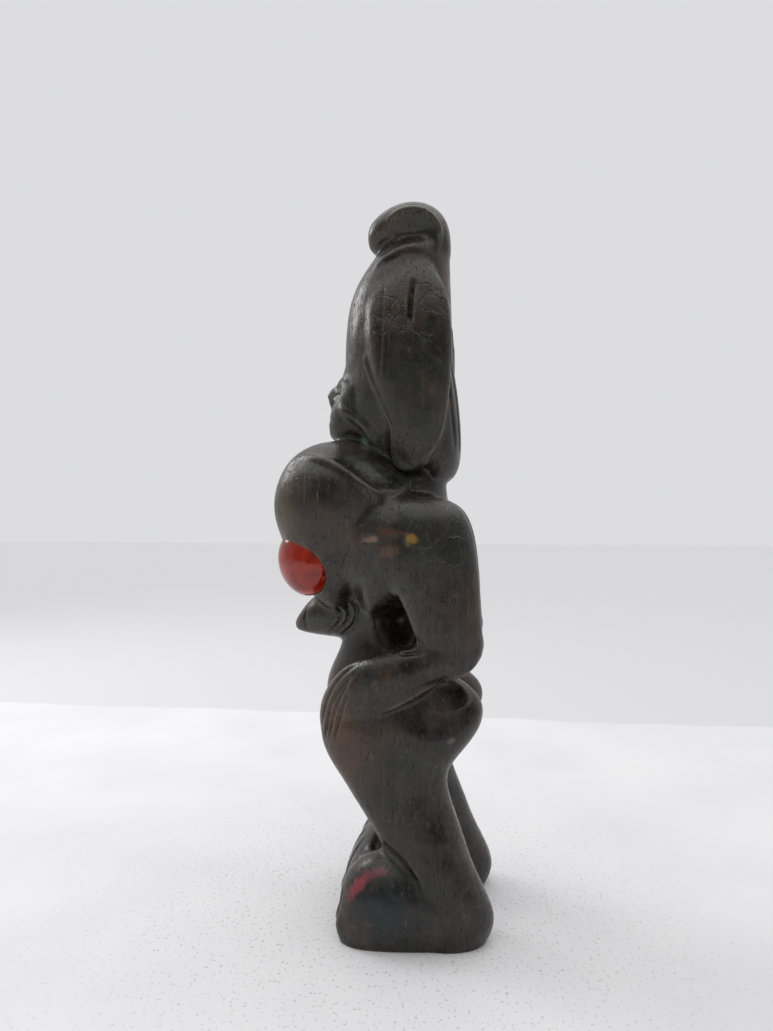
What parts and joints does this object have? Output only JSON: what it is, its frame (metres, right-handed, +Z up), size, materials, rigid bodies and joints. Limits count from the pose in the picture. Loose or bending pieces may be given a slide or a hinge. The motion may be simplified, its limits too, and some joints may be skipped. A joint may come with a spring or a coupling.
{
  "type": "souvenir figurine",
  "caption": "Standing carved figurine of dark polished wood, hands on hips, with glossy red oval beads inlaid in the chest.",
  "frame": {"origin": "on the plane of the soles, under the middle of the figure's bounding box", "axes": "+Z up, the figure faces -Y, its left side is +X"},
  "size_m": [0.0568, 0.0672, 0.2235],
  "materials": {
    "polished_dark_wood": "hand-carved, sanded and wax-polished, near black with brown streaks",
    "red_bead": "glossy orange-red oval bead"
  },
  "bodies": {
    "root": {"carved_figure": "polished_dark_wood", "left_bead": "red_bead", "right_bead": "red_bead"}
  },
  "joints": []
}
